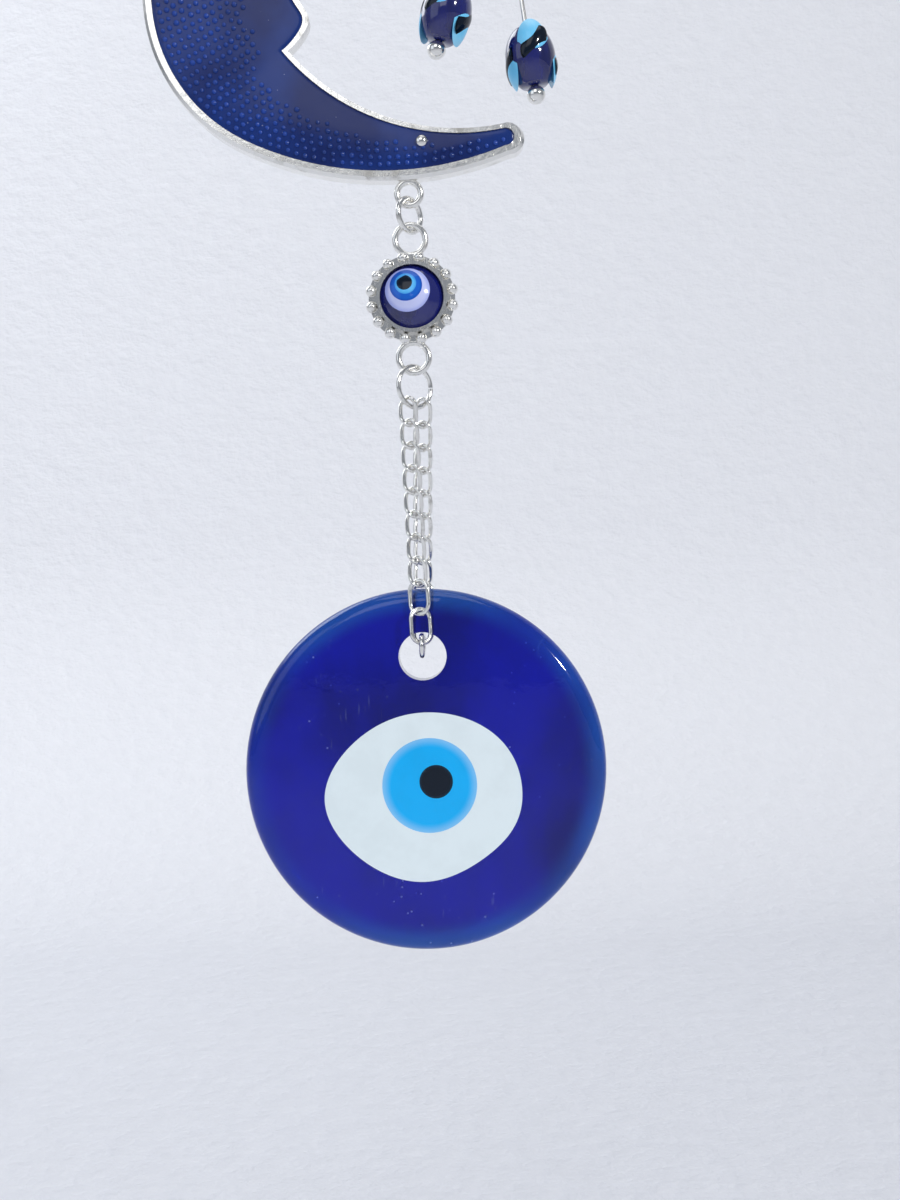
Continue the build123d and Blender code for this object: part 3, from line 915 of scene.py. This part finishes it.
class ORNAMENT_OT_lay_stage(bpy.types.Operator):
    """Lays the pale floor and sets the lights and the camera"""

    bl_idname = "ornament.lay_stage"
    bl_label = "Lay the stage"

    floor_size = 6.0
    floor_level = -0.27
    wall_at = 0.45
    wall_height = 2.4
    cove = 0.16

    def floor(self, sizes):
        """A pale floor that turns up into a wall well behind the ornament."""
        deselect_all()
        middle = (0, self.wall_at - self.floor_size / 2, self.floor_level)
        bpy.ops.mesh.primitive_plane_add(size=self.floor_size, location=middle)
        floor = bpy.context.object
        settle(floor, "pale_floor")
        pick_points(floor, lambda co: co.y > 0)
        bpy.ops.mesh.extrude_region_move(TRANSFORM_OT_translate={"value": (0, 0, self.wall_height)})
        close_edit()
        edit(floor)
        for edge in floor.data.edges:
            ends = [floor.data.vertices[k].co for k in edge.vertices]
            edge.select = all(co.y > 0.4 and co.z < 0 for co in ends)
        bpy.ops.object.mode_set(mode="EDIT")
        bpy.ops.mesh.bevel(offset=self.cove, segments=16)
        close_edit()
        smooth(floor, 60)
        finish = Finish("pale_plaster")
        weave = finish.cloud(1.0, 4.0, 0.6, finish.stretched((150.0, 150.0, 210.0)))
        finish.set(
            Base_Color=finish.blend(weave, opaque(sizes.floor), opaque([0.93 * c for c in sizes.floor])),
            Roughness=0.85,
        )
        finish.bump(weave, 0.5, 2.0 * MM)
        floor.data.materials.append(finish.material)

    def lamp(self, kind, name, strength, colour, place, **settings):
        """A light that shines from a place towards the middle of the ornament."""
        light = bpy.data.lights.new(name, kind)
        light.energy = strength
        light.color = colour
        for key, value in settings.items():
            setattr(light, key, value)
        lamp = bpy.data.objects.new(name, light)
        bpy.context.collection.objects.link(lamp)
        aim = (cad_low + cad_high) / 2
        lamp.location = aim + Vector(place)
        lamp.rotation_euler = (-Vector(place)).to_track_quat("-Z", "Y").to_euler()

    def execute(self, context):
        sizes = context.scene.ornament_stage
        self.floor(sizes)
        self.lamp("SUN", "sun", sizes.sun, (1.0, 0.985, 0.95), (0.62, -0.74, 0.36), angle=math.radians(4))
        self.lamp("AREA", "left_fill", 0.6, (0.86, 0.92, 1.0), (-0.55, -0.45, 0.25), size=0.5)
        self.lamp("AREA", "top_card", 1.0, (1.0, 1.0, 1.0), (0.05, -0.10, 0.75), size=0.5)
        self.lamp("AREA", "rim_card", 0.55, (1.0, 1.0, 1.0), (-0.12, -0.60, 0.42), size=0.35)
        self.lamp("AREA", "rear_fill", 1.6, (0.94, 0.97, 1.0), (-0.40, 0.33, 0.45), size=0.4)
        world = bpy.data.worlds.new("daylight")
        world.use_nodes = True
        backdrop = world.node_tree.nodes["Background"]
        backdrop.inputs["Color"].default_value = (0.80, 0.87, 1.0, 1.0)
        backdrop.inputs["Strength"].default_value = 0.30
        context.scene.world = world
        context.scene.view_settings.view_transform = "Standard"
        lens = bpy.data.cameras.new("camera")
        lens.lens = lens.sensor_width * sizes.distance / sizes.view_height
        camera = bpy.data.objects.new("camera", lens)
        context.collection.objects.link(camera)
        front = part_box("glass_disc")[0].y
        camera.location = (
            DISC_CENTRE.x + sizes.aside,
            front - sizes.distance,
            DISC_CENTRE.z + sizes.above,
        )
        level = Matrix.Rotation(math.radians(90), 3, "X")
        camera.rotation_euler = (level @ Matrix.Rotation(sizes.roll, 3, "Z")).to_euler()
        lens.clip_start = 0.01
        context.scene.camera = camera
        return {"FINISHED"}


class ORNAMENT_PT_sidebar(bpy.types.Panel):
    """The ornament's steps, in the order that they are taken"""

    bl_idname = "ORNAMENT_PT_sidebar"
    bl_label = "Ornament"
    bl_space_type = "VIEW_3D"
    bl_region_type = "UI"
    bl_category = "Ornament"

    def draw(self, context):
        for step in STEPS:
            self.layout.operator(step.bl_idname)


GROUPS = {
    "ornament_moon": OrnamentMoon,
    "ornament_silver": OrnamentSilver,
    "ornament_chain": OrnamentChain,
    "ornament_glass": OrnamentGlass,
    "ornament_beads": OrnamentBeads,
    "ornament_stage": OrnamentStage,
}
STEPS = (
    ORNAMENT_OT_plate_silver,
    ORNAMENT_OT_fill_moon,
    ORNAMENT_OT_twist_links,
    ORNAMENT_OT_pour_disc,
    ORNAMENT_OT_set_eye_bead,
    ORNAMENT_OT_wind_drop_beads,
    ORNAMENT_OT_lay_stage,
)


def register():
    """Adds the classes and the scene's settings."""
    for group in (*GROUPS.values(), *STEPS, ORNAMENT_PT_sidebar):
        bpy.utils.register_class(group)
    for name, group in GROUPS.items():
        setattr(bpy.types.Scene, name, PointerProperty(type=group))


def unregister():
    """Takes them away again."""
    for name in GROUPS:
        delattr(bpy.types.Scene, name)
    for group in (ORNAMENT_PT_sidebar, *reversed(STEPS), *reversed(GROUPS.values())):
        bpy.utils.unregister_class(group)


def main():
    """Takes every step in order."""
    register()
    for step in STEPS:
        family, name = step.bl_idname.split(".")
        getattr(getattr(bpy.ops, family), name)()


if __name__ == "__main__":
    main()
